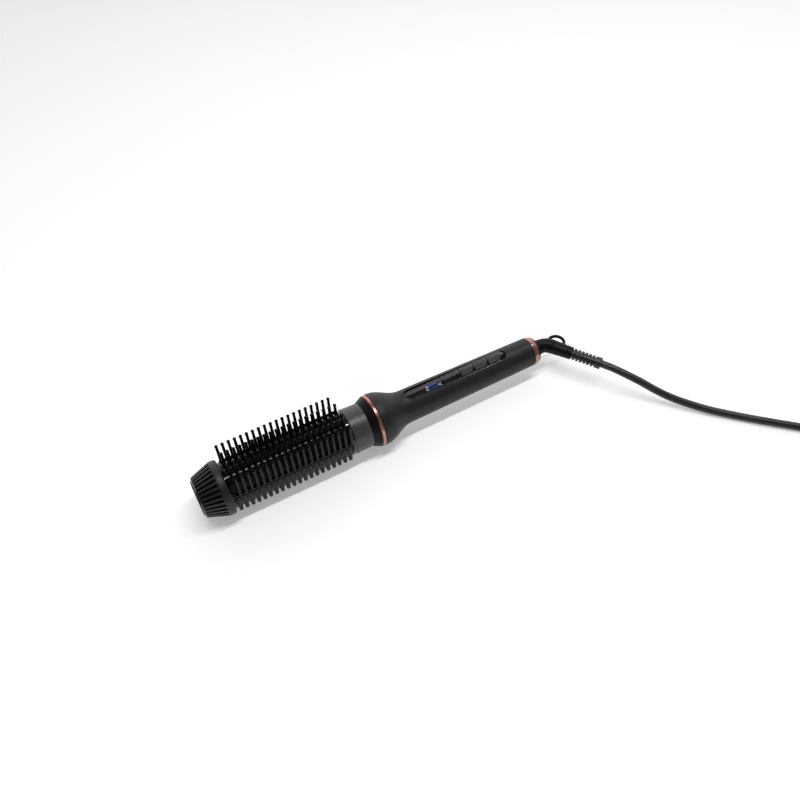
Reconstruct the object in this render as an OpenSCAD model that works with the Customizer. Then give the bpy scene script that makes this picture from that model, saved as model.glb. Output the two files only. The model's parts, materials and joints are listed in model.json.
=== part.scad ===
// Heated hot air brush for hair styling, lying on a flat surface with its control panel up.
// X runs along the brush from the vented tip (-X) to the swivel lead (+X), and +Z is up.
// The origin is at the bottom centre of the brush and its swivel, without the free lead.

/* [Overall] */
// Height of the brush's long axis above the surface it lies on
axis_h = 24; // [23.9:0.05:24.1]
// Distance from the tip to the origin along X
tip_offset = 189; // [187:1:191]
// Sideways offset of the brush's long axis from the origin
axis_y = 12; // [11:0.5:13]

/* [Vented tip cap] */
// Outer radius at the front edge of the cap
cap_front_r = 17.8; // [16:0.1:18]
// Outer radius at the cap's widest rim
cap_rim_r = 24; // [23.6:0.1:24]
// Number of cooling slots round the cone
cap_slots = 32; // [24:1:34]
// Wall thickness of the cap
cap_wall = 2; // [1.6:0.1:2.4]

/* [Heated barrel] */
// Outer radius of the heated tube
barrel_r = 18.8; // [18.4:0.1:19]
// Wall thickness of the heated tube
barrel_wall = 1.4; // [1.2:0.1:1.5]

/* [Bristles] */
// Number of pins in each row
pins_per_row = 20; // [12:1:22]
// Distance from one pin to the next along a row
pin_pitch = 5.28; // [4.8:0.02:5.3]
// Distance that each long row starts behind the one on its far side
row_step = 0.8; // [0:0.1:0.9]
// Sideways distance of the two inner rows from the axis
inner_row_y = 6; // [5.8:0.1:7]
// Sideways distance of the two outer rows from the axis
outer_row_y = 18.7; // [18.6:0.1:19.5]
// Radius that the long upper pins reach to
upper_tip_r = 36.1; // [32:0.1:38]
// Radius that the short lower pins reach to
lower_tip_r = 23.4; // [22:0.1:23.6]
// Radius of a pin where it leaves its strip
pin_foot_r = 1.6; // [1.2:0.05:1.6]
// Radius of the ball at the end of a pin
pin_ball_r = 1.5; // [1.2:0.05:1.6]
// Radius of the thick fingers at the sleeve's sides
finger_r = 1.85; // [1.4:0.05:2]

/* [Handle] */
// Largest radius of the bulge behind the rose ring
bulge_r = 24; // [23:0.1:24]
// Grip radius just behind the bulge
grip_front_r = 15.2; // [14.8:0.1:15.6]
// Grip radius at the rear end
grip_rear_r = 13.6; // [13.4:0.1:14]
// Wall thickness of the handle shells
shell_wall = 2.2; // [1.8:0.1:2.4]

/* [Control panel] */
// Length of the panel from end to end
panel_l = 104; // [100:1:106]
// Width of the panel
panel_w = 11.6; // [11:0.1:12]
// Height of the panel's face above the long axis
panel_top = 12.6; // [12.4:0.1:12.8]
// Distance that each button travels when it is pressed
button_travel = 0.6; // [0.4:0.1:0.7]

/* [Swivel and lead] */
// Angle that the elbow turns away from the long axis
elbow_angle = 57; // [45:1:60]
// Radius of the elbow's bend
elbow_bend_r = 12; // [10:0.5:13]
// Length of the straight neck after the bend
elbow_neck_l = 20; // [18:1:22]
// Length of the strain relief
relief_l = 28; // [24:1:30]
// Diameter of the lead
cord_d = 7; // [6:0.1:7.2]

/* [Hidden] */
$fn = 64;
gap = 0.1;                       // clearance between parts that are assembled together
big = 60;                        // half size of the blocks that cut a part in two

// Stations of the cap, measured from the tip
cap_x = 1.5;                     // front edge of the cap
rim_x = 20;                      // widest point of the cap
cap_end_x = 25.5;

// Stations along the long axis, measured from a datum that the tip stands 2 mm in front of
tip_x = -2;
barrel_x = 22.6;
barrel_end_x = 132.4;
cage_x = 24;                     // bristle sleeve
cage_end_x = 132.3;
cage_ring_l = 1.7;               // length of the full ring at the sleeve's front end
sleeve_top = 6.5;                // height of the sleeve's long edges above the long axis
first_pin_x = 28.1;              // far outer row
first_finger_x = 27.6;
collar_x = 134.7;
collar_end_x = 151.2;
nose_x = 151.4;
trim_x = 158.2;                  // front trim ring
trim_end_x = 161;
shell_x = 161.2;                 // handle shells
bulge_x = 163.5;                 // where the bulge starts to fall away
bulge_fall = 27.5;               // length over which it falls to the grip
shell_end_x = 322.6;
rear_trim_end_x = 327;
rear_end_x = 330.4;
hub_x = 330.8;                   // first point of the swivel outside the handle
bend_x = 336;                    // start of the elbow's bend
panel_x = 192;                   // front end of the control panel

collar_r = 20.5;
cage_r = 20.3;
finger_y = 19.1;
finger_drop = 12.85;             // depth that the fingers reach below the long axis
neck_r = 17.2;                   // outer radius of the neck insulator
neck_bore_r = 13.4;
barrel_in_r = barrel_r - barrel_wall;

// Panel layout
panel_t = 1.6;
window_l = 50;
window_w = 8.6;
button_l = 12.4;
button_w = 8.2;
button_pitch = 14.6;
first_button_x = panel_x + 56.6;
button_rise = 0.5;
board_x = 197;
board_l = 92;
board_w = 17;
board_t = 1.6;
board_z = 3.4;                   // underside of the board above the long axis
switch_h = 2.6;

// Swivel
shaft_r = 6;
shaft_fit = 0.05;
elbow_r = 6.8;
neck_end_r = 5.9;
relief_r = 5.5;
relief_end_r = 5.4;

// Lead
cord_r = cord_d / 2;
coil_centre = [315, -240];
coil_rows = 4;
coil_mid_r = 38.5;               // middle of the two columns of turns

// Route of the lead from the strain relief to the coil, and from the coil to the plug
LEAD_ROUTE = [[185, -33, 24], [192, -44, 23.5], [199, -55, 21.5], [207, -66, 18],
    [215, -77, 13.5], [225, -89, 9], [236, -101, 6], [248, -114, 4.2], [261, -127, 3.5],
    [275, -141, 3.5], [290, -155, 3.5], [305, -169, 3.5], [320, -184, 3.5],
    [333, -197, 3.5], [342.5, -208.3, 3.5]];
END_ROUTE = [[346.7, -267.6, 24.5], [338, -278, 24.3], [327, -288.5, 22.5], [314, -296.5, 18.5],
    [300, -301, 14], [286, -302, 10.5], [272, -300, 8.6], [260, -296, 8]];

// ---- helpers ----

// Solid of revolution about the long axis, from [radius, station] points
module turned(points) {
    rotate([0, 90, 0]) rotate_extrude() polygon(points);
}

// Puts children on the long axis, with X counted from the datum
module on_axis() {
    translate([-tip_offset - tip_x, axis_y, axis_h]) children();
}

// Puts children on the long axis, with X counted from the tip
module at_tip() {
    on_axis() translate([tip_x, 0, 0]) children();
}

// Plain ring about the long axis
module ring(x, length, r_out, r_in) {
    turned([[r_in, x], [r_out, x], [r_out, x + length], [r_in, x + length]]);
}

// Block that is centred across the axis
module slab(x, length, width, z, height) {
    translate([x, -width / 2, z]) cube([length, width, height]);
}

// Block whose middle is at y across the axis
module slab_at(x, length, y, width, z, height) {
    translate([x, y - width / 2, z]) cube([length, width, height]);
}

// Rod along the long axis at a given place across it
module rod(x, length, r, y = 0, z = 0) {
    translate([x, y, z]) rotate([0, 90, 0]) cylinder(h = length, r = r);
}

// Flat outline with two round ends, from x to x + length
module stadium(x, length, width) {
    translate([x + width / 2, 0]) circle(d = width);
    translate([x + length - width / 2, 0]) circle(d = width);
    translate([x + width / 2, -width / 2]) square([length - width, width]);
}

// Button outline: square at the front and D-shaped at the rear
module d_outline(x, length, width) {
    r = width / 2;
    intersection() {
        translate([x, -r]) square([length, width]);
        translate([x + length - r * 1.25, 0]) circle(r = r * 1.25);
        translate([x - length, -r]) square([length * 3, width]);
    }
    translate([x, -r]) square([length - r, width]);
}

// Grip radius at a station, with the bulge blended in by half a cosine
function grip_r(x) = grip_front_r
    + (grip_rear_r - grip_front_r) * max(0, x - 190) / (shell_end_x - 190);
function fall(x) = min(1, max(0, (x - bulge_x) / bulge_fall));
function handle_r(x) = grip_r(x) + (bulge_r - grip_r(x)) * (1 + cos(180 * fall(x))) / 2;

// ---- vented tip ----

module tip_disc() {
    color([0.18, 0.18, 0.185]) at_tip() union() {
        turned([[0, 0.2], [9, 0], [14.6, 0.15], [15.3, 0.7], [15.3, 1.3], [0, 1.3]]);
        ring(1.2, 1.6, 5.05, 4);
    }
}

// Tapered slot with round ends, cut outwards through the cone
module cap_slot() {
    slot_l = 14.7;
    front_r = 0.75;
    rear_r = 1.3;
    translate([cap_x + 1.5, 0, 13]) linear_extrude(16) union() {
        polygon([[0, -front_r], [slot_l, -rear_r], [slot_l, rear_r], [0, front_r]]);
        translate([slot_l, 0]) circle(r = rear_r, $fn = 24);
        circle(r = front_r, $fn = 24);
    }
}

module tip_cap() {
    inner = [cap_front_r - cap_wall, cap_rim_r - cap_wall];
    color([0.20, 0.20, 0.205]) at_tip() difference() {
        turned([[1.5, 3.2], [5.2, 3.2], [5.2, cap_x], [cap_front_r - 0.6, cap_x],
            [cap_front_r, cap_x + 0.6], [cap_rim_r - 0.25, rim_x - 1], [cap_rim_r, rim_x + 0.3],
            [cap_rim_r, cap_end_x - 1.6], [cap_rim_r - 0.5, cap_end_x - 0.5],
            [cap_rim_r - 1.6, cap_end_x], [inner[1], cap_end_x], [inner[1], rim_x],
            [inner[0] + 0.4, 5], [1.5, 5]]);
        for (i = [0:cap_slots - 1]) rotate([(i + 0.5) * 360 / cap_slots, 0, 0]) cap_slot();
    }
}

module tip_liner() {
    color([0.05, 0.05, 0.05]) at_tip()
        turned([[14, 5.2], [14.9, 5.2], [21.2, 20], [21.2, 21.9], [20.4, 21.9], [20.4, 20.2]]);
}

module tip_screw() {
    color("silver") at_tip() difference() {
        union() {
            rod(1.8, 1.3, 2.8);
            rod(3, 13, 1.2);
        }
        rod(1.7, 0.9, 1.1, $fn = 6);
    }
}

module front_plug() {
    color([0.80, 0.78, 0.70]) at_tip() difference() {
        union() {
            rod(5.1, 17, 6);
            turned([[0, 22], [21.8, 22], [21.8, 24.4], [barrel_in_r - gap, 24.4],
                [barrel_in_r - gap, 33], [0, 33]]);
        }
        rod(4, 14, 1.25);
        rod(24.5, 10, 13.5);
    }
}

// ---- heated barrel ----

module barrel_tube() {
    color([0.05, 0.05, 0.055]) on_axis()
        ring(barrel_x, barrel_end_x - barrel_x, barrel_r, barrel_in_r);
}

// Tapered pin with a ball end, pointing up from z to the height of its tip
module pin(z, tip) {
    translate([0, 0, z])
        cylinder(h = tip - pin_ball_r - z, r1 = pin_foot_r, r2 = pin_ball_r - 0.35, $fn = 20);
    translate([0, 0, tip - pin_ball_r]) sphere(r = pin_ball_r, $fn = 20);
}

// Places children along a row at a sideways distance from the axis
module along_row(x, y) {
    for (i = [0:pins_per_row - 1]) translate([x + i * pin_pitch, y, 0]) children();
}

// Height at which a circle of radius r stands over the sideways distance y
function height_at(r, y) = sqrt(r * r - y * y);

strip_x = cage_x + cage_ring_l + gap;
strip_l = cage_end_x - strip_x;
pin_root = 0.6;                  // depth that a pin is let into what carries it

// Sleeve under the barrel: a full ring at the front, short pins below and a row of thick
// round-ended fingers down each side
module bristle_sleeve() {
    color([0.13, 0.13, 0.135]) on_axis() difference() {
        union() {
            rod(cage_x, cage_end_x - cage_x, cage_r);
            mirror([0, 0, 1]) for (s = [-1, 1]) {
                along_row(first_finger_x, s * inner_row_y)
                    pin(height_at(cage_r - pin_root, inner_row_y), height_at(lower_tip_r, inner_row_y));
                along_row(first_finger_x, s * finger_y) {
                    translate([0, 0, -sleeve_top])
                        cylinder(h = finger_drop - finger_r + sleeve_top, r = finger_r, $fn = 24);
                    translate([0, 0, finger_drop - finger_r]) sphere(r = finger_r, $fn = 24);
                }
            }
        }
        rod(0, 2 * cage_end_x, barrel_r + gap);
        translate([cage_x + cage_ring_l, -big, sleeve_top]) cube([2 * cage_end_x, 2 * big, big]);
    }
}

// Rows over the barrel, numbered from the far side. A curved strip that lies on the barrel
// carries each inner row
module inner_row(number, y) {
    strip_w = 3.4;
    color([0.13, 0.13, 0.135]) on_axis() {
        intersection() {
            ring(strip_x, strip_l, cage_r, barrel_r + gap);
            translate([strip_x, y - strip_w / 2, 0]) cube([strip_l, strip_w, big]);
        }
        along_row(first_pin_x + number * row_step, y)
            pin(height_at(cage_r - pin_root, y), height_at(upper_tip_r, y));
    }
}

// A flat strip just above the sleeve's long edge carries each outer row
module outer_row(number, side) {
    strip_z = sleeve_top + 1.1;
    strip_y = 17.4;              // edge towards the barrel
    strip_w = 2.9;
    color([0.13, 0.13, 0.135]) on_axis() {
        slab_at(strip_x, strip_l, side * (strip_y + strip_w / 2), strip_w, strip_z, 1.2);
        along_row(first_pin_x + number * row_step, side * outer_row_y)
            pin(strip_z + pin_root, height_at(upper_tip_r, outer_row_y));
    }
}

module far_outer_row() {
    outer_row(0, 1);
}

module far_inner_row() {
    inner_row(1, inner_row_y);
}

module near_inner_row() {
    inner_row(2, -inner_row_y);
}

module near_outer_row() {
    outer_row(3, -1);
}

// Half-round aluminium block with a channel for the heater and two lightening bores
module heat_spreader() {
    difference() {
        intersection() {
            rod(34, 84, barrel_in_r - gap);
            translate([0, -big, 2.3]) cube([3 * big, 2 * big, big]);
        }
        for (s = [-1, 1]) rod(33, 86, 3.4, s * 8.2, 7.6);
        rod(33, 86, 1.7, 0, 12);
    }
}

module upper_heat_spreader() {
    color("silver") on_axis() heat_spreader();
}

module lower_heat_spreader() {
    color("silver") on_axis() mirror([0, 0, 1]) heat_spreader();
}

module ptc_heater() {
    color([0.55, 0.52, 0.48]) on_axis() for (i = [0:3]) slab(36 + i * 20.4, 20, 14, -1.4, 2.8);
}

module electrode_plates() {
    color([0.80, 0.62, 0.30]) on_axis() for (s = [0, 1]) mirror([0, 0, s]) {
        slab(35, 88, 16, 1.5, 0.7);
    }
}

module temperature_sensor() {
    color([0.55, 0.30, 0.12]) on_axis() union() {
        rod(88, 7, 1.4, 0, 12);
        rod(95, 55, 0.7, 0, 12);
    }
}

module thermal_fuse() {
    color("gainsboro") on_axis() union() {
        rod(128, 11, 2.1, 0, -7);
        rod(124, 19, 0.6, 0, -7);
    }
}

module neck_insulator() {
    color([0.82, 0.80, 0.74]) on_axis()
        turned([[neck_bore_r, 124], [neck_r, 124], [neck_r, 164.2], [20.4, 164.2], [20.4, 167],
            [neck_r, 167], [neck_r, 172], [neck_bore_r, 172]]);
}

module end_ring() {
    color([0.03, 0.03, 0.03]) on_axis() ring(barrel_end_x + gap, 2.1, 19.7, neck_r + gap);
}

module collar() {
    color([0.29, 0.29, 0.295]) on_axis()
        turned([[neck_r + gap, collar_x], [collar_r - 0.8, collar_x], [collar_r, collar_x + 0.8],
            [collar_r - 0.5, collar_end_x], [neck_r + gap, collar_end_x]]);
}

module nose_ring() {
    color([0.10, 0.10, 0.10]) on_axis()
        turned([[neck_r + gap, nose_x], [20, nose_x], [20.6, nose_x + 0.4], [23.6, trim_x - 0.2],
            [neck_r + gap, trim_x - 0.2]]);
}

module front_trim_ring() {
    color([0.80, 0.52, 0.42]) on_axis()
        turned([[neck_r + gap, trim_x], [23.4, trim_x], [23.9, trim_x + 0.5], [bulge_r, trim_end_x - 0.4],
            [bulge_r - 0.3, trim_end_x], [neck_r + gap, trim_end_x]]);
}

// ---- handle ----

module handle_outer() {
    turned(concat([[0, shell_x], [bulge_r - 0.2, shell_x], [bulge_r, shell_x + 0.6]],
        [for (i = [0:16]) let (x = bulge_x + i * bulge_fall / 16) [handle_r(x), x]],
        [[handle_r(240), 240], [grip_rear_r, shell_end_x], [0, shell_end_x]]));
}

module handle_cavity() {
    turned(concat([[0, shell_x - 1], [neck_r + gap, shell_x - 1], [neck_r + gap, 164],
        [bulge_r - shell_wall, 164]],
        [for (i = [1:12]) let (x = bulge_x - 1 + i * bulge_fall / 12) [handle_r(x + 1) - shell_wall, x]],
        [[grip_rear_r - shell_wall, shell_end_x + 1], [0, shell_end_x + 1]]));
}

screw_x = [186, 303];

// Thin wall of both handle shells, before it is cut in two
module handle_wall() {
    difference() {
        handle_outer();
        handle_cavity();
    }
}

// Screw posts of one radius, trimmed to the outside of the handle
module posts(r) {
    intersection() {
        handle_outer();
        for (x = screw_x) translate([x, 0, -20]) cylinder(h = 40, r = r);
    }
}

module upper_handle() {
    ledge_t = 1;
    ledge_w = 10.4;
    floor_z = panel_top - panel_t - gap;
    color([0.12, 0.12, 0.125]) on_axis() difference() {
        union() {
            handle_wall();
            posts(2.9);
            intersection() {
                handle_outer();
                slab(panel_x - 2, panel_l + 4, 30, floor_z - ledge_t, ledge_t);
            }
        }
        translate([0, -big, -2 * big + 0.05]) cube([6 * big, 2 * big, 2 * big]);
        translate([0, 0, floor_z]) linear_extrude(10)
            stadium(panel_x - 0.2, panel_l + 0.4, panel_w + 0.4);
        slab(panel_x + 3, panel_l - 6, ledge_w, floor_z - 2, 4);
        for (x = screw_x) translate([x, 0, -1]) cylinder(h = 9, r = 1.2);
    }
}

module lower_handle() {
    color([0.12, 0.12, 0.125]) on_axis() difference() {
        union() {
            handle_wall();
            posts(3.6);
        }
        translate([0, -big, -0.05]) cube([6 * big, 2 * big, 2 * big]);
        for (x = screw_x) {
            translate([x, 0, -14]) cylinder(h = 15, r = 1.5);
            translate([x, 0, -30]) cylinder(h = 22, r = 2.6);
        }
    }
}

module shell_screws() {
    color("silver") on_axis() for (x = screw_x) translate([x, 0, 0]) difference() {
        union() {
            translate([0, 0, -9.8]) cylinder(h = 1.8, r = 2.4);
            translate([0, 0, -8.1]) cylinder(h = 14, r = 1.1);
        }
        translate([0, 0, -10.4]) cylinder(h = 1.4, r = 1, $fn = 6);
    }
}

// ---- control panel ----

function button_x(i) = first_button_x + i * button_pitch;

module control_panel() {
    color([0.03, 0.03, 0.035]) on_axis() translate([0, 0, panel_top - panel_t])
        difference() {
            linear_extrude(panel_t) stadium(panel_x, panel_l, panel_w);
            translate([0, 0, -1]) linear_extrude(panel_t + 2) {
                translate([panel_x + 3, -window_w / 2]) square([window_l, window_w]);
                for (i = [0:2]) d_outline(button_x(i) - 0.3, button_l + 0.6, button_w + 0.6);
            }
        }
}

module display_window() {
    color([0.20, 0.20, 0.22]) on_axis()
        slab(panel_x + 3.05, window_l - 0.1, window_w - 0.1, panel_top - panel_t, panel_t);
}

module lcd_display() {
    color([0.05, 0.10, 0.35]) on_axis()
        slab(board_x + 1, 46, 8.4, panel_top - panel_t - 2, 1.9);
}

module lcd_backlight() {
    color("white") on_axis() slab(board_x + 1, 46, 8.4, board_z + board_t, 3.9);
}

// Sprung key: a D-ended cap, a flange that the panel holds down, and a stem over the switch
module button_key(i) {
    x = button_x(i);
    under = panel_top - panel_t;
    on_axis() union() {
        translate([0, 0, under - 0.4]) linear_extrude(panel_t + 0.4 + button_rise)
            d_outline(x, button_l, button_w);
        translate([0, 0, under - 1.3]) linear_extrude(0.9)
            translate([x - 0.6, -button_w / 2 - 0.9]) square([button_l + 1.2, button_w + 1.8]);
        translate([x + button_l / 2, 0, board_z + board_t + switch_h + 0.9])
            cylinder(h = under - 1.2 - (board_z + board_t + switch_h + 0.9), r = 1.6);
    }
}

module power_button() {
    color([0.16, 0.16, 0.165]) button_key(0);
}

module plus_button() {
    color([0.16, 0.16, 0.165]) button_key(1);
}

module minus_button() {
    color([0.16, 0.16, 0.165]) button_key(2);
}

module tact_switches() {
    color([0.25, 0.25, 0.27]) on_axis() for (i = [0:2]) {
        slab(button_x(i) + button_l / 2 - 2.4, 4.8, 4.8, board_z + board_t, switch_h - 0.8);
        translate([button_x(i) + button_l / 2, 0, board_z + board_t + switch_h - 0.9])
            cylinder(h = 0.9, r = 1.4);
    }
}

module control_board() {
    color([0.05, 0.32, 0.16]) on_axis() slab(board_x, board_l, board_w, board_z, board_t);
}

// Power parts hang under the board, each a separate solid that touches its underside
module board_components() {
    color([0.10, 0.10, 0.10]) on_axis() {
        slab(board_x + 2, 8, 13, board_z - 7, 7);
        translate([board_x + 20, 0, board_z - 9]) cylinder(h = 9, r = 4);
        slab(board_x + 28, 14, 8, board_z - 8, 8);
        slab(board_x + 46, 9, 9, board_z - 1.6, 1.6);
        slab(board_x + 60, 3, 10, board_z - 10, 10);
        slab(board_x + 70, 10, 6, board_z - 5, 5);
        slab(board_x + 83, 8, 17, board_z - 7, 7);
    }
}

module heater_leads() {
    color("white") on_axis() for (s = [-1, 1]) rod(123.4, 75.6, 1, s * 5.2, 0);
}

module supply_leads() {
    color("white") on_axis() for (s = [-1, 1]) rod(board_x + 91, 20, 1, s * 7.5, -1);
}

// ---- rear end and swivel ----

module rear_trim_ring() {
    color([0.80, 0.52, 0.42]) on_axis()
        turned([[11.6, shell_end_x + gap], [grip_rear_r - 0.1, shell_end_x + gap],
            [grip_rear_r, shell_end_x + 0.6], [13.35, rear_trim_end_x - 1], [12.9, rear_trim_end_x],
            [11.6, rear_trim_end_x]]);
}

module rear_cover() {
    color([0.11, 0.11, 0.11]) on_axis()
        turned([[shaft_r + shaft_fit, 326], [11.5, 326], [11.5, rear_trim_end_x + gap],
            [12.6, rear_trim_end_x + gap], [12.1, rear_end_x - 1.7], [10.6, rear_end_x - 0.6],
            [8.4, rear_end_x], [shaft_r + shaft_fit, rear_end_x]]);
}

// Fixed housing: two end walls carry the shaft and the bore between them is relieved
module swivel_housing() {
    color([0.25, 0.25, 0.25]) on_axis() difference() {
        turned([[shaft_r + shaft_fit, 308], [11.2, 308], [11.2, 325.8], [shaft_r + shaft_fit, 325.8],
            [shaft_r + shaft_fit, 322], [9.4, 322], [9.4, 311], [shaft_r + shaft_fit, 311]]);
        slab(312, 8, 3, -big, 2 * big);
    }
}

// Two brass leaves that reach into the housing beside the slip rings
module contact_springs() {
    color([0.85, 0.65, 0.30]) on_axis() for (i = [0, 1])
        translate([313 + i * 4, -1.5, i == 0 ? 7.5 : -11.1]) cube([2, 3, 3.6]);
}

module swivel_shaft() {
    color([0.12, 0.12, 0.12]) on_axis() difference() {
        turned([[2.6, 307.2], [shaft_r, 307.2], [shaft_r, 311.4], [6.6, 311.4], [6.6, 312.8], [6.6, 320.4],
            [shaft_r, 321.6], [shaft_r, hub_x], [2.6, hub_x]]);
        ring(313, 2, 7, 5.8);
        ring(317, 2, 7, 5.8);
    }
}

module slip_rings() {
    color([0.88, 0.68, 0.32]) on_axis() for (i = [0, 1]) ring(313 + i * 4, 2, 7.2, 5.8);
}

// Carries children at the end of the elbow's bend, with X along its neck
module after_bend(along = 0) {
    on_axis() translate([bend_x, -elbow_bend_r, 0]) rotate([0, 0, -elbow_angle])
        translate([along, elbow_bend_r, 0]) children();
}

// Ring that the brush hangs by, beside the neck on the outside of the bend
module hanging_loop() {
    after_bend(1.5) translate([0, 7.3, 0]) rotate_extrude() translate([7.3, 0]) circle(r = 1.5, $fn = 32);
}

module swivel_elbow() {
    band_l = 1.2;                // raised bands where the bend meets the straight lengths
    color([0.11, 0.11, 0.11]) difference() {
        union() {
            on_axis() turned([[0, hub_x], [7.6, hub_x], [7.6, hub_x + 2.4],
                [elbow_r, hub_x + 3.4], [elbow_r, bend_x], [0, bend_x]]);
            on_axis() translate([bend_x, -elbow_bend_r, 0]) rotate([0, 0, 90 - elbow_angle])
                rotate_extrude(angle = elbow_angle) translate([elbow_bend_r, 0]) circle(r = elbow_r);
            after_bend() rotate([0, 90, 0])
                cylinder(h = elbow_neck_l, r1 = elbow_r, r2 = neck_end_r);
            on_axis() rod(bend_x - band_l / 2, band_l, elbow_r + 0.15);
            after_bend(-band_l / 2) rotate([0, 90, 0]) cylinder(h = band_l, r = elbow_r + 0.15);
            hanging_loop();
        }
        after_bend(1) translate([0, -3.4, elbow_r - 1]) cylinder(h = 4, r = 1);
        after_bend(16) translate([0, -3.2, neck_end_r - 1]) cylinder(h = 4, r = 1);
    }
}

// Solid core with ring ribs and a plain block at the end
module strain_relief() {
    ribs = 6;
    pitch = 3.5;
    rib_l = 2;
    end_l = 5.4;
    color([0.10, 0.10, 0.10]) after_bend(elbow_neck_l) rotate([0, 90, 0]) union() {
        cylinder(h = relief_l - 1, r = 3.8);
        for (i = [0:ribs - 1]) translate([0, 0, 1.6 + i * pitch])
            cylinder(h = rib_l, r = relief_r + (relief_end_r - relief_r) * i / ribs);
        translate([0, 0, relief_l - end_l]) cylinder(h = end_l, r = relief_end_r);
    }
}

// ---- lead ----

function unit(v) = v / norm(v);
function heading(route, i) = unit(route[min(i + 1, len(route) - 1)] - route[max(i - 1, 0)]);
function side(dir) = unit(cross(dir, [0, 0, 1]));
function tube_ring(centre, dir, r, sides) = [for (k = [0:sides - 1])
    let (a = 360 * k / sides, s = side(dir), u = cross(s, dir)) centre + r * (s * cos(a) + u * sin(a))];

// One closed tube along the points of a route
module tube(route, r, sides = 10) {
    n = len(route);
    points = [for (i = [0:n - 1]) each tube_ring(route[i], heading(route, i), r, sides)];
    walls = [for (i = [0:n - 2], k = [0:sides - 1])
        [i * sides + k, i * sides + (k + 1) % sides, (i + 1) * sides + (k + 1) % sides,
            (i + 1) * sides + k]];
    ends = [[for (k = [sides - 1:-1:0]) k], [for (k = [0:sides - 1]) (n - 1) * sides + k]];
    polyhedron(points, concat(walls, ends), convexity = 6);
}

module cord_lead() {
    color([0.06, 0.06, 0.06]) tube(LEAD_ROUTE, cord_r);
}

module cord_end() {
    color([0.06, 0.06, 0.06]) tube(END_ROUTE, cord_r);
}

module coil_section() {
    translate([coil_mid_r - cord_d, 0]) square([2 * cord_d, coil_rows * cord_d]);
}

module cord_coil() {
    color([0.06, 0.06, 0.06]) translate([coil_centre[0], coil_centre[1], 0])
        rotate_extrude() coil_section();
}

// Strap over the section of the coil
module cord_tie() {
    t = 1.2;
    color([0.15, 0.15, 0.15]) translate([coil_centre[0], coil_centre[1], 0])
        rotate([0, 0, 190]) rotate_extrude(angle = 12) difference() {
            translate([coil_mid_r - cord_d - t, 0]) square([2 * (cord_d + t), coil_rows * cord_d + t]);
            coil_section();
        }
}

plug_place = [260, -296, 8];
plug_turn = 162;                 // heading of the plug in the XY plane

module at_plug() {
    translate(plug_place) rotate([0, 0, plug_turn]) children();
}

// Flat two-pin plug: a grip that narrows to the lead
module plug_body() {
    color([0.07, 0.07, 0.07]) at_plug() hull() {
        rotate([0, 90, 0]) cylinder(h = 1, r = 4.6, $fn = 32);
        translate([16, 0, 0]) for (s = [-1, 1]) translate([0, s * 6, 0]) rotate([0, 90, 0])
            cylinder(h = 1, r = 6, $fn = 32);
        translate([34, 0, 0]) for (s = [-1, 1]) translate([0, s * 10.5, 0]) rotate([0, 90, 0])
            cylinder(h = 2, r = 7, $fn = 32);
    }
}

module plug_pins() {
    color("silver") at_plug() for (s = [-1, 1]) translate([36, s * 9.3, 0]) rotate([0, 90, 0]) {
        cylinder(h = 18, r = 2);
        translate([0, 0, 18]) cylinder(h = 1, r1 = 2, r2 = 1.2);
    }
}

tip_disc();
tip_cap();
tip_liner();
tip_screw();
front_plug();
barrel_tube();
bristle_sleeve();
far_outer_row();
far_inner_row();
near_inner_row();
near_outer_row();
upper_heat_spreader();
lower_heat_spreader();
ptc_heater();
electrode_plates();
temperature_sensor();
thermal_fuse();
neck_insulator();
end_ring();
collar();
nose_ring();
front_trim_ring();
upper_handle();
lower_handle();
shell_screws();
control_panel();
display_window();
lcd_display();
lcd_backlight();
power_button();
plus_button();
minus_button();
tact_switches();
control_board();
board_components();
heater_leads();
supply_leads();
rear_trim_ring();
rear_cover();
swivel_housing();
contact_springs();
swivel_shaft();
slip_rings();
swivel_elbow();
strain_relief();
cord_lead();
cord_coil();
cord_tie();
cord_end();
plug_body();
plug_pins();
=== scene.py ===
"""Looks for the hot air brush: materials, power lead, plug, display, light and camera.

All sizes are in metres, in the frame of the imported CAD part.
"""

import json
import math

import bpy
from mathutils import Matrix, Vector


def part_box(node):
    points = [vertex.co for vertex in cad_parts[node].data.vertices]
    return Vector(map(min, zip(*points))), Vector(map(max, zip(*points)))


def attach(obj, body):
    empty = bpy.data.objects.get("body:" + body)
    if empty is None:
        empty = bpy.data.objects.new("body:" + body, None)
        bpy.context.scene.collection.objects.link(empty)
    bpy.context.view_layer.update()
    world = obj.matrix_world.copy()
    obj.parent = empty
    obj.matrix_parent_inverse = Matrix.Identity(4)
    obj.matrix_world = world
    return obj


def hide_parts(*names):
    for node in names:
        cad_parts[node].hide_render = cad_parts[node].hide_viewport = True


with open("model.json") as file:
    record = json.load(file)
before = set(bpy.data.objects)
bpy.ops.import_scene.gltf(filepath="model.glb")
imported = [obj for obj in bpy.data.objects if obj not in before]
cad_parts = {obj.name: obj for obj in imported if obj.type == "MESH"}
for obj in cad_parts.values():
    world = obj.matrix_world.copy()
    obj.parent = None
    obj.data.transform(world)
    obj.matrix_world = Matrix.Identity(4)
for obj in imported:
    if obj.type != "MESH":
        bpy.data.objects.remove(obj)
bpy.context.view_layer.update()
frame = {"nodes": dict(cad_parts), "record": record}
scene = bpy.context.scene
MM = 0.001
AXIS_Y = 12 * MM                # the brush's long axis, across the frame


def eased(t):
    """Takes 0 to 1 smoothly, level at both ends."""
    return t * t * (3 - 2 * t)


# ---- materials ----

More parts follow.
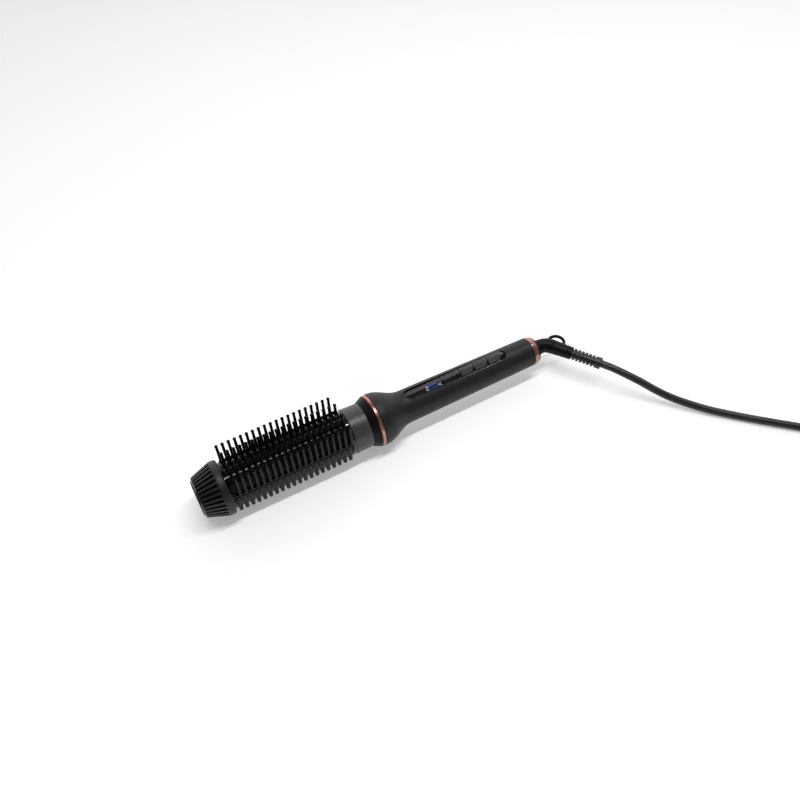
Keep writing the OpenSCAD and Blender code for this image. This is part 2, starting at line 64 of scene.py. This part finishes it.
PANEL_CROWN = 17.5 * MM         # radius to which the panel, its window and its keys look domed
FAR_LEAN = 0.16                 # steepest lean of the far half of that dome
NOISE_MIDDLE = (0.3, 0.7)       # the part of a noise texture's range that it mostly keeps to
EDGE_BEND = (0.98, 0.8)         # dot product with the softened normal where wear starts, is full
WORN_GAIN, WORN_LIFT = 2, 0.02  # how a worn edge's colour is made from the surface's own
WORN_POLISH = -0.25             # change of roughness where wear is 1
COAT_ROUGH = 0.06
PANE_IOR = 1.05                 # hardly bends what lies under a clear pane


def link(nodes, out_node, out_name, in_node, in_name):
    nodes.id_data.links.new(out_node.outputs[out_name], in_node.inputs[in_name])


def noise_node(nodes, coords, size, detail=3):
    made = nodes.new("ShaderNodeTexNoise")
    made.inputs["Scale"].default_value = 1 / size
    made.inputs["Detail"].default_value = detail
    link(nodes, coords, "Object", made, "Vector")
    return made


def range_node(nodes, value, out_name, span, result):
    """Turns a value that runs over the span into one that runs over the result."""
    made = nodes.new("ShaderNodeMapRange")
    for label, ends in (("From", span), ("To", result)):
        for end, number in zip(("Min", "Max"), ends):
            made.inputs[f"{label} {end}"].default_value = number
    link(nodes, value, out_name, made, "Value")
    return made


def tint_node(nodes, factor, color):
    """Mix of two colours; the second one is given, and the first is set or linked by the caller."""
    made = nodes.new("ShaderNodeMix")
    made.data_type = "RGBA"
    made.inputs["B"].default_value = (*(min(1, c) for c in color), 1)
    link(nodes, factor, "Result", made, "Factor")
    return made


def math_node(nodes, operation, vector=False):
    made = nodes.new("ShaderNodeVectorMath" if vector else "ShaderNodeMath")
    made.operation = operation
    return made


def domed(nodes, coords, soft, radius):
    """Normal that leans away from the brush's long axis, as on a dome of that radius with a
    flatter far side."""
    split = nodes.new("ShaderNodeSeparateXYZ")
    link(nodes, coords, "Object", split, "Vector")
    lean = math_node(nodes, "MULTIPLY_ADD")
    lean.inputs[1].default_value, lean.inputs[2].default_value = 1 / radius, -AXIS_Y / radius
    link(nodes, split, "Y", lean, 0)
    flatter = math_node(nodes, "MINIMUM")
    flatter.inputs[1].default_value = FAR_LEAN
    link(nodes, lean, "Value", flatter, 0)
    side = nodes.new("ShaderNodeCombineXYZ")
    link(nodes, flatter, "Value", side, "Y")
    added = math_node(nodes, "ADD", vector=True)
    link(nodes, side, "Vector", added, 0)
    link(nodes, soft, "Normal", added, 1)
    unit = math_node(nodes, "NORMALIZE", vector=True)
    link(nodes, added, "Vector", unit, 0)
    return unit


def surface(name, color, rough, metal=0.0, specular=0.5, coat=0.0, patch=14 * MM, vary=0.16,
            rough_vary=0.05, grain=0.25 * MM, depth=0.006 * MM, edge=0.25 * MM, wear=0.3,
            glow=None, clear=0.0, crown=None):
    """Moulded or coated surface: patches of colour and gloss, a fine grain, and softened edges
    that are a little lighter and smoother where hands rub them. A crown is the radius to which
    a flat face along the brush looks domed; on a clear pane only the coat follows it."""
    made = bpy.data.materials.new(name)
    made.use_nodes = True
    nodes = made.node_tree.nodes
    shader = nodes["Principled BSDF"]
    shader.inputs["Metallic"].default_value = metal
    shader.inputs["Specular IOR Level"].default_value = specular
    shader.inputs["Coat Weight"].default_value = coat
    shader.inputs["Coat Roughness"].default_value = COAT_ROUGH
    shader.inputs["Transmission Weight"].default_value = clear
    if clear:
        shader.inputs["IOR"].default_value = PANE_IOR
    if glow:
        shader.inputs["Emission Color"].default_value = (*color, 1)
        shader.inputs["Emission Strength"].default_value = glow
    coords = nodes.new("ShaderNodeTexCoord")
    clouds = range_node(nodes, noise_node(nodes, coords, patch), "Fac", NOISE_MIDDLE, (0, 1))
    tint = tint_node(nodes, clouds, [c * (1 + vary) for c in color])
    tint.inputs["A"].default_value = (*(c * (1 - vary) for c in color), 1)
    gloss = range_node(nodes, noise_node(nodes, coords, patch / 3), "Fac", NOISE_MIDDLE,
                       (rough - rough_vary, rough + rough_vary))
    bump = nodes.new("ShaderNodeBump")
    bump.inputs["Distance"].default_value = depth
    link(nodes, noise_node(nodes, coords, grain, 2), "Fac", bump, "Height")
    color_out, rough_out = (tint, "Result"), (gloss, "Result")
    place = nodes.new("ShaderNodeNewGeometry")
    soft = place
    if edge:
        soft = nodes.new("ShaderNodeBevel")
        soft.samples = 4
        soft.inputs["Radius"].default_value = edge
        dot = math_node(nodes, "DOT_PRODUCT", vector=True)
        link(nodes, soft, "Normal", dot, 0)
        link(nodes, place, "Normal", dot, 1)
        worn = range_node(nodes, dot, "Value", EDGE_BEND, (0, wear))
        rubbed = tint_node(nodes, worn, [c * WORN_GAIN + WORN_LIFT for c in color])
        link(nodes, tint, "Result", rubbed, "A")
        polished = math_node(nodes, "MULTIPLY_ADD")
        polished.inputs[1].default_value = WORN_POLISH
        link(nodes, worn, "Result", polished, 0)
        link(nodes, gloss, "Result", polished, 2)
        color_out, rough_out = (rubbed, "Result"), (polished, "Value")
    if crown:
        dome = domed(nodes, coords, soft, crown)
        if clear:
            link(nodes, dome, "Vector", shader, "Coat Normal")
        else:
            link(nodes, dome, "Vector", bump, "Normal")
    elif edge:
        link(nodes, soft, "Normal", bump, "Normal")
    link(nodes, *color_out, shader, "Base Color")
    link(nodes, *rough_out, shader, "Roughness")
    link(nodes, bump, "Normal", shader, "Normal")
    return made


SURFACES = {
    "soft_touch_black": dict(color=(0.01, 0.01, 0.0105), rough=0.5, specular=0.34,
                             grain=0.14 * MM, depth=0.01 * MM, edge=0.3 * MM),
    "cap_black": dict(color=(0.006, 0.006, 0.0063), rough=0.48, grain=0.2 * MM, depth=0.012 * MM),
    "satin_grey": dict(color=(0.042, 0.042, 0.0435), rough=0.38, patch=9 * MM),
    "gloss_black": dict(color=(0.004, 0.004, 0.005), rough=0.07, specular=0.75, rough_vary=0.02,
                        depth=0.0003 * MM, edge=0.5 * MM),
    "heated_coating": dict(color=(0.004, 0.004, 0.0043), rough=0.1, patch=6 * MM, grain=0.5 * MM,
                           depth=0.004 * MM),
    "bristle_black": dict(color=(0.002, 0.002, 0.0021), rough=0.14, specular=0.15,
                          patch=5 * MM, edge=0.12 * MM),
    "rose_gold": dict(color=(0.47, 0.22, 0.175), rough=0.27, metal=0.9, vary=0.05, rough_vary=0.02,
                      depth=0.002 * MM, wear=0.1),
    "button_black": dict(color=(0.018, 0.018, 0.0195), rough=0.34, grain=0.18 * MM,
                         depth=0.002 * MM),
    "display_glass": dict(color=(0.5, 0.5, 0.52), rough=0.0, rough_vary=0.0, vary=0.03,
                          specular=0.0, coat=1.0, depth=0.0, edge=0, clear=1.0),
    "display_blue": dict(color=(0.003, 0.004, 0.01), rough=0.6, specular=0.1, edge=0,
                         depth=0.001 * MM),
    "white_plastic": dict(color=(0.75, 0.75, 0.73), rough=0.5, vary=0.04),
    "heat_resin": dict(color=(0.62, 0.58, 0.48), rough=0.55, vary=0.08),
    "liner_black": dict(color=(0.01, 0.01, 0.01), rough=0.7, grain=0.4 * MM, depth=0.05 * MM),
    "raw_aluminium": dict(color=(0.7, 0.71, 0.72), rough=0.35, metal=1.0, vary=0.06),
    "ptc_ceramic": dict(color=(0.42, 0.39, 0.35), rough=0.7, vary=0.1, depth=0.03 * MM),
    "brass_contact": dict(color=(0.72, 0.5, 0.2), rough=0.28, metal=1.0, vary=0.08),
    "steel": dict(color=(0.55, 0.56, 0.57), rough=0.28, metal=1.0, vary=0.06),
    "sensor_film": dict(color=(0.4, 0.18, 0.04), rough=0.25, vary=0.08),
    "board_green": dict(color=(0.02, 0.14, 0.06), rough=0.32, vary=0.1),
    "component_black": dict(color=(0.02, 0.02, 0.02), rough=0.45),
    "wire_white": dict(color=(0.7, 0.7, 0.68), rough=0.5, vary=0.05),
    "cord_black": dict(color=(0.012, 0.012, 0.0125), rough=0.42, patch=20 * MM, grain=0.6 * MM,
                       depth=0.015 * MM, edge=0.15 * MM),
    "plug_black": dict(color=(0.013, 0.013, 0.0135), rough=0.46, grain=0.22 * MM, depth=0.015 * MM),
    "plug_nickel": dict(color=(0.66, 0.64, 0.6), rough=0.22, metal=1.0, vary=0.05),
}
MATERIALS = {slot: surface(slot, **look) for slot, look in SURFACES.items()}
lit_digits = surface("lit_digits", (0.03, 0.12, 0.75), 0.4, vary=0.1, edge=0, glow=1.0)
pale_digits = surface("pale_digits", (0.7, 0.74, 1.0), 0.4, vary=0.1, edge=0, glow=1.6)


def paint_cad_nodes():
    """Gives each CAD node its material; the panel, its window and its keys also look domed, and
    the two plain mouldings in front of and behind the handle get a darker, less shiny copy of the
    soft-touch black, which is painted shade."""
    raised = {"control_panel", "display_window", "power_button", "plus_button", "minus_button"}
    plain = {"nose_ring", "swivel_elbow"}
    # painted shade: a darker, less shiny copy of the soft-touch black for the nose ring and swivel
    # elbow
    shaded_copy = surface("soft_touch_painted_shade", (0.004, 0.004, 0.0043), 0.42, specular=0.14)
    for part in frame["record"]["subparts"]:
        slot = part["material_slot"]
        look = MATERIALS[slot]
        if part["node"] in raised:
            look = surface(slot + "_domed", **SURFACES[slot], crown=PANEL_CROWN)
        elif part["node"] in plain:
            look = shaded_copy
        data = frame["nodes"][part["node"]].data
        data.materials.clear()
        data.materials.append(look)


paint_cad_nodes()

# ---- camera ----

CAMERA_AT = Vector((-0.18522, -0.36633, 0.55247))
CAMERA_AZIMUTH = math.radians(26.12)     # turned from +Y towards +X
CAMERA_ELEVATION = math.radians(50.80)   # how far it looks down
CAMERA_ROLL = math.radians(-2.95)
CAMERA_LENS = 34.34                      # on a 36 mm sensor


def add_camera():
    az, el, roll = CAMERA_AZIMUTH, CAMERA_ELEVATION, CAMERA_ROLL
    forward = Vector((math.sin(az) * math.cos(el), math.cos(az) * math.cos(el), -math.sin(el)))
    level_right = Vector((math.cos(az), -math.sin(az), 0))
    level_up = level_right.cross(forward)
    right = level_right * math.cos(roll) + level_up * math.sin(roll)
    up = level_up * math.cos(roll) - level_right * math.sin(roll)
    data = bpy.data.cameras.new("camera")
    data.lens = CAMERA_LENS
    data.clip_start, data.clip_end = 0.01, 20
    camera = bpy.data.objects.new("camera", data)
    turn = Matrix((right, up, -forward)).transposed()
    camera.matrix_world = Matrix.Translation(CAMERA_AT) @ turn.to_4x4()
    scene.collection.objects.link(camera)
    scene.camera = camera


add_camera()

# ---- mesh helpers ----


def add_object(name, data, body, material):
    made = bpy.data.objects.new(name, data)
    scene.collection.objects.link(made)
    data.materials.append(material)
    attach(made, body)
    return made


def mesh_of(name, points, faces, smooth=True):
    data = bpy.data.meshes.new(name)
    data.from_pydata([tuple(p) for p in points], [], faces)
    data.validate()
    if smooth:
        data.shade_smooth()
    else:
        data.shade_flat()
    return data


def skin(name, rings, closed=False):
    """Mesh over rings of equal length: open ends get caps, and a closed skin joins up instead."""
    n, count = len(rings[0]), len(rings)
    pairs = [(i, (i + 1) % count) for i in range(count if closed else count - 1)]
    faces = [(i * n + k, i * n + (k + 1) % n, j * n + (k + 1) % n, j * n + k)
             for i, j in pairs for k in range(n)]
    if not closed:
        faces += [tuple(reversed(range(n))), tuple(range((count - 1) * n, count * n))]
    return mesh_of(name, [p for ring in rings for p in ring], faces)


def round_rings(line, radius_at, sides=28):
    """Rings of varying radius along a line; radius_at takes the distance from its start."""
    rings, gone = [], 0.0
    for i, p in enumerate(line):
        ahead = (line[min(i + 1, len(line) - 1)] - line[max(i - 1, 0)]).normalized()
        side = ahead.cross(Vector((0, 0, 1))).normalized()
        over = side.cross(ahead)
        gone += (p - line[i - 1]).length if i else 0
        r = radius_at(gone)
        rings.append([p + side * (r * math.cos(a)) + over * (r * math.sin(a))
                      for a in (2 * math.pi * k / sides for k in range(sides))])
    return rings


# ---- power lead ----

CORD_D = 7 * MM
CORD_R = CORD_D / 2
COIL_CENTRE = Vector((315, -240, 0)) * MM
COIL_START = 49                 # angle in degrees at which the lead joins the coil
COIL_INNER, COIL_OUTER = 35 * MM, 42 * MM
COIL_LAYERS = 4                 # of two turns each
COIL_STEP = 12                  # degrees from one point of the coil to the next
LEAD_ROUTE = [(185, -33, 24), (192, -44, 23.5), (199, -55, 21.5), (207, -66, 18),
              (215, -77, 13.5), (225, -89, 9), (236, -101, 6), (248, -114, 4.2),
              (261, -127, 3.5), (275, -141, 3.5), (290, -155, 3.5), (305, -169, 3.5),
              (320, -184, 3.5), (333, -197, 3.5)]
END_ROUTE = [(338, -278, 24.3), (327, -288.5, 22.5), (314, -296.5, 18.5),
             (300, -301, 14), (286, -302, 10.5), (272, -300, 8.6), (260, -296, 8)]


def coil_points():
    """Points of the coil: each turn keeps to one place in its section, then shifts to the next."""
    places = [(r, (2 * row + 1) * CORD_R) for row in range(COIL_LAYERS)
              for r in ((COIL_OUTER, COIL_INNER) if row % 2 == 0 else (COIL_INNER, COIL_OUTER))]
    first, usual, last, shift = 300, 240, 90, 60    # degrees
    steady = [first] + [usual] * (len(places) - 2) + [last]
    marks, turned = [], 0
    for place, span in zip(places, steady):
        marks += [(turned, place), (turned + span, place)]
        turned += span + shift
    end = marks[-1][0]
    points = []
    for k in range(math.ceil(end / COIL_STEP) + 1):
        along = min(k * COIL_STEP, end)
        a, b = next(pair for pair in zip(marks, marks[1:]) if along <= pair[1][0])
        t = eased((along - a[0]) / (b[0] - a[0]))
        r, z = (p + (q - p) * t for p, q in zip(a[1], b[1]))
        angle = math.radians(COIL_START - along)
        points.append(COIL_CENTRE + Vector((r * math.cos(angle), r * math.sin(angle), z)))
    return points


def spline_through(points, pieces):
    """Catmull-Rom line through the points, with that many pieces between each two."""
    ends = [2 * points[0] - points[1]] + points + [2 * points[-1] - points[-2]]
    line = []
    for p0, p1, p2, p3 in zip(ends, ends[1:], ends[2:], ends[3:]):
        for k in range(pieces):
            t = k / pieces
            line.append(0.5 * (2 * p1 + (p2 - p0) * t + (2 * p0 - 5 * p1 + 4 * p2 - p3) * t ** 2
                               + (3 * p1 - p0 - 3 * p2 + p3) * t ** 3))
    return line + [points[-1].copy()]


def add_lead(line):
    data = bpy.data.curves.new("power_lead", "CURVE")
    data.dimensions = "3D"
    data.bevel_depth = CORD_R
    data.bevel_resolution = 8
    data.use_fill_caps = True
    spline = data.splines.new("POLY")
    spline.points.add(len(line) - 1)
    for point, p in zip(spline.points, line):
        point.co = (*p, 1)
    made = add_object("power_lead", data, "swivel", MATERIALS["cord_black"])
    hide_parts("cord_lead", "cord_coil", "cord_end")
    return made


lead_line = spline_through([Vector(p) * MM for p in LEAD_ROUTE] + coil_points()
                           + [Vector(p) * MM for p in END_ROUTE], pieces=5)
lead = add_lead(lead_line)

# ---- plug ----

PLUG_AT = Vector(END_ROUTE[-1]) * MM
PLUG_TURN = math.radians(162)
PLUG_LENGTH = 36 * MM
PLUG_TAIL = (5.2 * MM, 5.0 * MM)      # half width and half thickness at the tail
PLUG_SWELL = (12.3 * MM, 2.0 * MM)    # what they gain towards the face
PLUG_RIM = 1.2 * MM                   # length over which each end is rounded or chamfered
RELIEF_LENGTH = 24 * MM


def plug_section(along):
    """Half width, half thickness and squareness of the plug's body at a distance from its tail.
    A squareness of 2 is an ellipse."""
    early = 1.12                # lets the width fill out before the face
    face_radius, tail_slope, square_gain = 1 * MM, 0.6, 1.4
    t = along / PLUG_LENGTH
    wide = PLUG_TAIL[0] + PLUG_SWELL[0] * min(1, eased(t) * early)
    thick = PLUG_TAIL[1] + PLUG_SWELL[1] * eased(t)
    face, tail = max(0, along - (PLUG_LENGTH - PLUG_RIM)), max(0, PLUG_RIM - along)
    trim = face ** 2 / (2 * face_radius) + tail * tail_slope
    return wide - trim, thick - trim, 2 + square_gain * t


def add_plug():
    """Flat body that widens towards the pins, with finger grooves along both sides."""
    sides, steps = 72, 90
    groove_depth, groove_pitch, first, last = 0.45 * MM, 3.2 * MM, 12 * MM, 29 * MM
    side_from, side_gain = 0.72, 6      # where round the section the grooves fade in, how fast
    ahead = Vector((math.cos(PLUG_TURN), math.sin(PLUG_TURN), 0))
    across, up = Vector((-ahead.y, ahead.x, 0)), Vector((0, 0, 1))
    rings = []
    for i in range(steps + 1):
        along = PLUG_LENGTH * i / steps
        wide, thick, square = plug_section(along)
        grip = 0
        if first < along < last:
            grip = groove_depth * max(0, math.sin(2 * math.pi * along / groove_pitch)) ** 0.5
        ring = []
        for k in range(sides):
            a = 2 * math.pi * k / sides
            c, s = math.cos(a), math.sin(a)
            u = math.copysign(abs(c) ** (2 / square), c)
            v = math.copysign(abs(s) ** (2 / square), s)
            groove = grip * min(1, max(0, (abs(c) - side_from) * side_gain))
            ring.append(PLUG_AT + ahead * along + across * (u * wide - math.copysign(groove, c))
                        + up * (v * thick))
        rings.append(ring)
    made = add_object("plug_shell", skin("plug_shell", rings), "swivel",
                      MATERIALS["plug_black"])
    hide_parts("plug_body")
    return made


def add_plug_relief():
    """Ribbed sleeve on the last stretch of the lead, moulded on to the plug's tail."""
    pitch, groove_depth, sharpness = 3 * MM, 0.55 * MM, 6
    first_groove = pitch * 0.8
    plug_radius, taper = 4.9 * MM, 0.85 * MM    # radius at the plug, and its loss by the far end
    back, gone = [lead_line[-1]], 0.0
    for p in reversed(lead_line[:-1]):
        gone += (p - back[-1]).length
        back.append(p)
        if gone > RELIEF_LENGTH:
            break

    def radius_at(d):
        if d >= RELIEF_LENGTH:
            return CORD_R
        groove = 0
        if d >= first_groove:
            wave = math.tanh(sharpness * math.sin(2 * math.pi * d / pitch))
            groove = groove_depth * (0.5 - 0.5 * wave)
        return plug_radius - taper * d / RELIEF_LENGTH - groove

    rings = round_rings(spline_through(back, pieces=12), radius_at)
    return add_object("plug_relief", skin("plug_relief", rings), "swivel",
                      MATERIALS["plug_black"])


plug = add_plug()
plug_relief = add_plug_relief()

# ---- tie round the coil ----


def add_tie():
    """Hook-and-loop strap drawn tight round the turns of the coil."""
    angle, steps = math.radians(196), 120
    out = Vector((math.cos(angle), math.sin(angle), 0))
    along = Vector((-math.sin(angle), math.cos(angle), 0))
    turns = [(COIL_INNER, CORD_R), (COIL_OUTER, CORD_R),
             (COIL_OUTER, 5 * CORD_R), (COIL_INNER, 7 * CORD_R)]
    half_width, thick, reach = 4 * MM, 0.9 * MM, CORD_R + 0.1 * MM
    floor_in, floor_out = 0.35 * MM, 0.02 * MM      # lowest points of the inner and outer face
    narrow = 0.94                                   # width of the outer face beside the inner
    loops = []
    for step in range(steps):
        a = 2 * math.pi * step / steps
        n = (math.cos(a), math.sin(a))
        r, z = max(turns, key=lambda p: p[0] * n[0] + p[1] * n[1])
        inner, outer = ((r + n[0] * away, max(lowest, z + n[1] * away))
                        for away, lowest in ((reach, floor_in), (reach + thick, floor_out)))
        loops.append([COIL_CENTRE + out * r0 + Vector((0, 0, z0)) + along * (w * half_width)
                      for (r0, z0), w in ((inner, -1), (outer, -narrow),
                                          (outer, narrow), (inner, 1))])
    made = add_object("coil_tie", skin("coil_tie", loops, closed=True), "swivel",
                      MATERIALS["liner_black"])
    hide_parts("cord_tie")
    return made


tie = add_tie()

# ---- display and key marks ----

SEGMENTS = {"2": "abged", "0": "abcdef", "c": "adef"}


def prism(points, faces, outline, z, height):
    """Adds an upright prism on an outline to the lists of points and faces."""
    n, first = len(outline), len(points)
    points += [(x, y, z) for x, y in outline] + [(x, y, z + height) for x, y in outline]
    faces += [tuple(first + n + k for k in range(n)), tuple(first + k for k in reversed(range(n)))]
    faces += [(first + k, first + (k + 1) % n, first + n + (k + 1) % n, first + n + k)
              for k in range(n)]


def bar(x0, y0, x1, y1, t):
    """Outline of a straight bar with pointed ends."""
    d = Vector((x1 - x0, y1 - y0)).normalized()
    n = Vector((-d.y, d.x)) * (t / 2)
    a, b = Vector((x0, y0)), Vector((x1, y1))
    p, q = a + d * (t / 2), b - d * (t / 2)
    return [tuple(v) for v in (a, p - n, q - n, b, q + n, p + n)]


def digit_bars(kind, x, y, w, h, t):
    """Outlines of one seven-segment digit with its lower left corner at x, y."""
    gap, mid = t * 0.12, y + h / 2
    places = {"a": (x, y + h, x + w, y + h), "g": (x, mid, x + w, mid), "d": (x, y, x + w, y),
              "f": (x, y + h, x, mid), "e": (x, mid, x, y), "b": (x + w, y + h, x + w, mid),
              "c": (x + w, mid, x + w, y)}

    def inset(p, q):
        return p + math.copysign(gap, q - p) if abs(q - p) > 1e-9 else p

    return [bar(inset(x0, x1), inset(y0, y1), inset(x1, x0), inset(y1, y0), t)
            for x0, y0, x1, y1 in (places[s] for s in SEGMENTS[kind])]


def arc_bars(x, y, r, start, end, t, steps=24):
    """Quads that follow an arc, in degrees counted anticlockwise from +X."""
    quads = []
    for k in range(steps):
        a, b = (math.radians(start + (end - start) * (k + j) / steps) for j in (0, 1))
        quads.append([(x + q * math.cos(c), y + q * math.sin(c))
                      for q, c in ((r - t / 2, a), (r + t / 2, a), (r + t / 2, b), (r - t / 2, b))])
    return quads


def add_print(name, outlines, z, height, body, material):
    """Thin flat shapes that stand for print or for lit segments."""
    points, faces = [], []
    for outline in outlines:
        prism(points, faces, outline, z, height)
    return add_object(name, mesh_of(name, points, faces, smooth=False), body, material)


def add_display():
    """A temperature in lit segments, under the window."""
    low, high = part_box("lcd_display")
    tall, wide, pitch, t = 4.6 * MM, 2.3 * MM, 4.2 * MM, 0.42 * MM
    lift, height = 0.02 * MM, 0.04 * MM
    x = low.x + 15.6 * MM       # left edge of the first digit
    y = AXIS_Y - 2.4 * MM       # clear of the panel's near wall, seen from the camera
    digits = [digit_bars(kind, x + k * pitch, y, wide, tall, t) for k, kind in enumerate("200")]
    small_x = x + 3 * pitch
    unit = arc_bars(small_x, y + 1.6 * MM, r=0.5 * MM, start=0, end=360, t=0.35 * MM)
    unit += digit_bars("c", small_x + 1.3 * MM, y, w=1.2 * MM, h=2.2 * MM, t=0.4 * MM)
    for name, outlines, look in (("display_hundreds", digits[0], pale_digits),
                                 ("display_tens_units", digits[1] + digits[2], lit_digits),
                                 ("display_degrees", unit, pale_digits)):
        add_print(name, outlines, high.z + lift, height, "handle", look)


def add_key_marks():
    """Power, plus and minus signs on the tops of the keys."""
    size, t, height = 1.5 * MM, 0.4 * MM, 0.03 * MM
    stem_from, stem_to = 0.2 * MM, 1.9 * MM     # upright of the power sign
    for key in ("power_button", "plus_button", "minus_button"):
        low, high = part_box(key)
        x, y, z = (low.x + high.x) / 2, (low.y + high.y) / 2, high.z
        if key == "power_button":
            outlines = arc_bars(x, y, size, start=125, end=415, t=t)
            outlines += [bar(x, y + stem_from, x, y + stem_to, t)]
        else:
            outlines = [bar(x - size, y, x + size, y, t)]
            if key == "plus_button":
                outlines += [bar(x, y + t / 2, x, y + size, t), bar(x, y - t / 2, x, y - size, t)]
        add_print(key.replace("button", "mark"), outlines, z - height / 2, height, key,
                  MATERIALS["satin_grey"])


add_display()
add_key_marks()

# ---- floor and light ----

SKY_FADES = [                   # direction, where the fade starts and ends, strength at each
    ("Z", (0.70, 0.745), (1.3, 0.08)),
    ("X", (-1.0, 0.1), (0.35, 1.0)),
    ("Y", (-0.4, 0.5), (0.12, 1.0)),
]


def add_floor():
    """Pale floor, a hair below the part."""
    half, gap = 4, 0.02 * MM
    corners = [(-half, -half, 0), (half, -half, 0), (half, half, 0), (-half, half, 0)]
    data = mesh_of("floor", corners, [(0, 1, 2, 3)])
    floor = bpy.data.objects.new("floor", data)
    floor.location.z = -gap
    data.materials.append(surface("floor_paper", (0.8, 0.8, 0.8), 0.85, specular=0.1, patch=0.5,
                                  vary=0.01, edge=0, grain=1 * MM, depth=0.002 * MM, glow=0.40))
    scene.collection.objects.link(floor)


def add_softbox(name, at, aim, width, height, power, in_gloss=True):
    data = bpy.data.lights.new(name, "AREA")
    data.shape = "RECTANGLE"
    data.size, data.size_y, data.energy = width, height, power
    lamp = bpy.data.objects.new(name, data)
    lamp.location = at
    lamp.rotation_euler = (Vector(aim) - Vector(at)).to_track_quat("-Z", "Y").to_euler()
    lamp.visible_glossy = in_gloss
    scene.collection.objects.link(lamp)


def add_sky():
    """Pale surround that is dark overhead, dimmer past the brush's tip and darker on the side
    nearer the camera."""
    world = bpy.data.worlds.new("surround")
    world.use_nodes = True
    nodes = world.node_tree.nodes
    sky = nodes["Background"]
    sky.inputs["Color"].default_value = (1, 1, 1, 1)
    split = nodes.new("ShaderNodeSeparateXYZ")
    link(nodes, nodes.new("ShaderNodeTexCoord"), "Generated", split, "Vector")
    strength = None
    for axis, span, result in SKY_FADES:
        fade = range_node(nodes, split, axis, span, result)
        fade.interpolation_type = "SMOOTHSTEP"
        if strength:
            times = math_node(nodes, "MULTIPLY")
            link(nodes, *strength, times, 0)
            link(nodes, fade, "Result", times, 1)
            strength = (times, "Value")
        else:
            strength = (fade, "Result")
    link(nodes, *strength, sky, "Strength")
    scene.world = world


add_floor()
add_sky()
add_softbox("top_strip", at=(0.25, -0.04, 1.5), aim=(0.25, -0.04, 0),
            width=1.4, height=0.06, power=14)
add_softbox("overhead", at=(0.1, 0.1, 1.6), aim=(0, 0, 0),
            width=1.8, height=1.8, power=5, in_gloss=False)
scene.view_settings.view_transform = "Standard"
